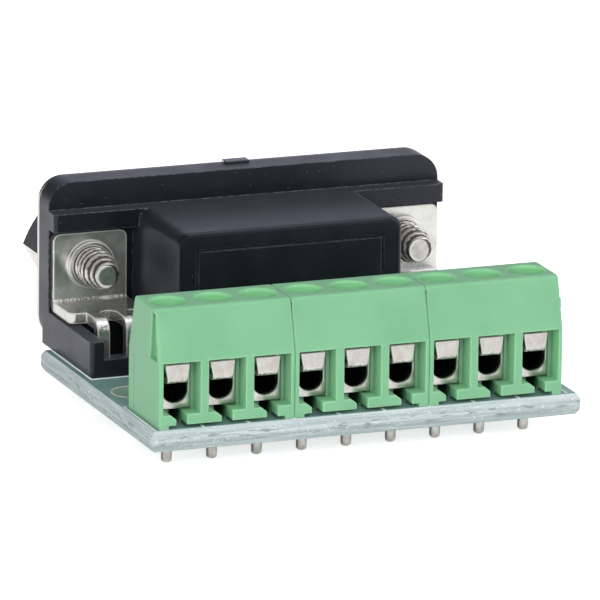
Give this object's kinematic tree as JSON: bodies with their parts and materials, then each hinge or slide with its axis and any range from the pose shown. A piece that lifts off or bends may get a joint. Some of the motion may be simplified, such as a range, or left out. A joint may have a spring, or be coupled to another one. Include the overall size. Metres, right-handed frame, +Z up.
{
  "type": "d-sub terminal block adapter",
  "caption": "Breakout adapter: right-angle D-sub socket connector and a row of screw terminals on one small board, with hex jackscrews and board locks.",
  "frame": {"origin": "centre of the connector's mating face, in the plane of the flange's front", "axes": "+Y out of the mating face, +X along the terminal row, +Z up from the board's component side"},
  "size_m": [0.0336, 0.0333, 0.0162],
  "materials": {
    "board_laminate": "epoxy glass laminate, clear blue-green",
    "green_plastic": "moulded, light green, satin",
    "black_plastic": "moulded, black, satin",
    "nickel_shell": "drawn sheet, bright nickel plate",
    "nickel_bracket": "folded sheet, bright nickel plate",
    "nickel_screw": "turned, bright nickel plate",
    "tinned_metal": "formed metal, tin plate",
    "screw_metal": "steel, nickel plate",
    "gold_contact": "turned brass, gold flash"
  },
  "bodies": {
    "base": {"circuit_board": "board_laminate", "front_shell": "nickel_shell", "socket_insulator": "black_plastic", "connector_housing": "black_plastic", "tail_spacer": "black_plastic", "board_lock_left": "nickel_bracket", "board_lock_right": "nickel_bracket", "jackscrew_left": "nickel_screw", "jackscrew_right": "nickel_screw", "terminal_housing_1": "green_plastic", "terminal_housing_2": "green_plastic", "terminal_housing_3": "green_plastic", "contact_block_1": "tinned_metal", "contact_block_2": "tinned_metal", "contact_block_3": "tinned_metal", "contact_block_4": "tinned_metal", "contact_block_5": "tinned_metal", "contact_block_6": "tinned_metal", "contact_block_7": "tinned_metal", "contact_block_8": "tinned_metal", "contact_block_9": "tinned_metal", "socket_contact_1": "gold_contact", "socket_contact_2": "gold_contact", "socket_contact_3": "gold_contact", "socket_contact_4": "gold_contact", "socket_contact_5": "gold_contact", "socket_contact_6": "gold_contact", "socket_contact_7": "gold_contact", "socket_contact_8": "gold_contact", "socket_contact_9": "gold_contact"},
    "guard_1": {"wire_guard_1": "tinned_metal"},
    "screw_1": {"clamp_screw_1": "screw_metal"},
    "guard_2": {"wire_guard_2": "tinned_metal"},
    "screw_2": {"clamp_screw_2": "screw_metal"},
    "guard_3": {"wire_guard_3": "tinned_metal"},
    "screw_3": {"clamp_screw_3": "screw_metal"},
    "guard_4": {"wire_guard_4": "tinned_metal"},
    "screw_4": {"clamp_screw_4": "screw_metal"},
    "guard_5": {"wire_guard_5": "tinned_metal"},
    "screw_5": {"clamp_screw_5": "screw_metal"},
    "guard_6": {"wire_guard_6": "tinned_metal"},
    "screw_6": {"clamp_screw_6": "screw_metal"},
    "guard_7": {"wire_guard_7": "tinned_metal"},
    "screw_7": {"clamp_screw_7": "screw_metal"},
    "guard_8": {"wire_guard_8": "tinned_metal"},
    "screw_8": {"clamp_screw_8": "screw_metal"},
    "guard_9": {"wire_guard_9": "tinned_metal"},
    "screw_9": {"clamp_screw_9": "screw_metal"}
  },
  "joints": [
    {"name": "clamp_travel_1", "type": "slide", "parent": "base", "child": "guard_1", "axis": [0, 0, -1], "range_m": [0, 0.001]},
    {"name": "clamp_turn_1", "type": "hinge", "parent": "guard_1", "child": "screw_1", "pos_m": [-0.014, -0.02386, 0], "axis": [0, 0, -1], "range_deg": [0, 900]},
    {"name": "clamp_travel_2", "type": "slide", "parent": "base", "child": "guard_2", "axis": [0, 0, -1], "range_m": [0, 0.001]},
    {"name": "clamp_turn_2", "type": "hinge", "parent": "guard_2", "child": "screw_2", "pos_m": [-0.0105, -0.02386, 0], "axis": [0, 0, -1], "range_deg": [0, 900]},
    {"name": "clamp_travel_3", "type": "slide", "parent": "base", "child": "guard_3", "axis": [0, 0, -1], "range_m": [0, 0.001]},
    {"name": "clamp_turn_3", "type": "hinge", "parent": "guard_3", "child": "screw_3", "pos_m": [-0.007, -0.02386, 0], "axis": [0, 0, -1], "range_deg": [0, 900]},
    {"name": "clamp_travel_4", "type": "slide", "parent": "base", "child": "guard_4", "axis": [0, 0, -1], "range_m": [0, 0.001]},
    {"name": "clamp_turn_4", "type": "hinge", "parent": "guard_4", "child": "screw_4", "pos_m": [-0.0035, -0.02386, 0], "axis": [0, 0, -1], "range_deg": [0, 900]},
    {"name": "clamp_travel_5", "type": "slide", "parent": "base", "child": "guard_5", "axis": [0, 0, -1], "range_m": [0, 0.001]},
    {"name": "clamp_turn_5", "type": "hinge", "parent": "guard_5", "child": "screw_5", "pos_m": [0, -0.02386, 0], "axis": [0, 0, -1], "range_deg": [0, 900]},
    {"name": "clamp_travel_6", "type": "slide", "parent": "base", "child": "guard_6", "axis": [0, 0, -1], "range_m": [0, 0.001]},
    {"name": "clamp_turn_6", "type": "hinge", "parent": "guard_6", "child": "screw_6", "pos_m": [0.0035, -0.02386, 0], "axis": [0, 0, -1], "range_deg": [0, 900]},
    {"name": "clamp_travel_7", "type": "slide", "parent": "base", "child": "guard_7", "axis": [0, 0, -1], "range_m": [0, 0.001]},
    {"name": "clamp_turn_7", "type": "hinge", "parent": "guard_7", "child": "screw_7", "pos_m": [0.007, -0.02386, 0], "axis": [0, 0, -1], "range_deg": [0, 900]},
    {"name": "clamp_travel_8", "type": "slide", "parent": "base", "child": "guard_8", "axis": [0, 0, -1], "range_m": [0, 0.001]},
    {"name": "clamp_turn_8", "type": "hinge", "parent": "guard_8", "child": "screw_8", "pos_m": [0.0105, -0.02386, 0], "axis": [0, 0, -1], "range_deg": [0, 900]},
    {"name": "clamp_travel_9", "type": "slide", "parent": "base", "child": "guard_9", "axis": [0, 0, -1], "range_m": [0, 0.001]},
    {"name": "clamp_turn_9", "type": "hinge", "parent": "guard_9", "child": "screw_9", "pos_m": [0.014, -0.02386, 0], "axis": [0, 0, -1], "range_deg": [0, 900]}
  ],
  "couplings": [
    {"joint": "clamp_turn_1", "follows": "clamp_travel_1", "rad_per_m": 15708},
    {"joint": "clamp_turn_2", "follows": "clamp_travel_2", "rad_per_m": 15708},
    {"joint": "clamp_turn_3", "follows": "clamp_travel_3", "rad_per_m": 15708},
    {"joint": "clamp_turn_4", "follows": "clamp_travel_4", "rad_per_m": 15708},
    {"joint": "clamp_turn_5", "follows": "clamp_travel_5", "rad_per_m": 15708},
    {"joint": "clamp_turn_6", "follows": "clamp_travel_6", "rad_per_m": 15708},
    {"joint": "clamp_turn_7", "follows": "clamp_travel_7", "rad_per_m": 15708},
    {"joint": "clamp_turn_8", "follows": "clamp_travel_8", "rad_per_m": 15708},
    {"joint": "clamp_turn_9", "follows": "clamp_travel_9", "rad_per_m": 15708}
  ]
}
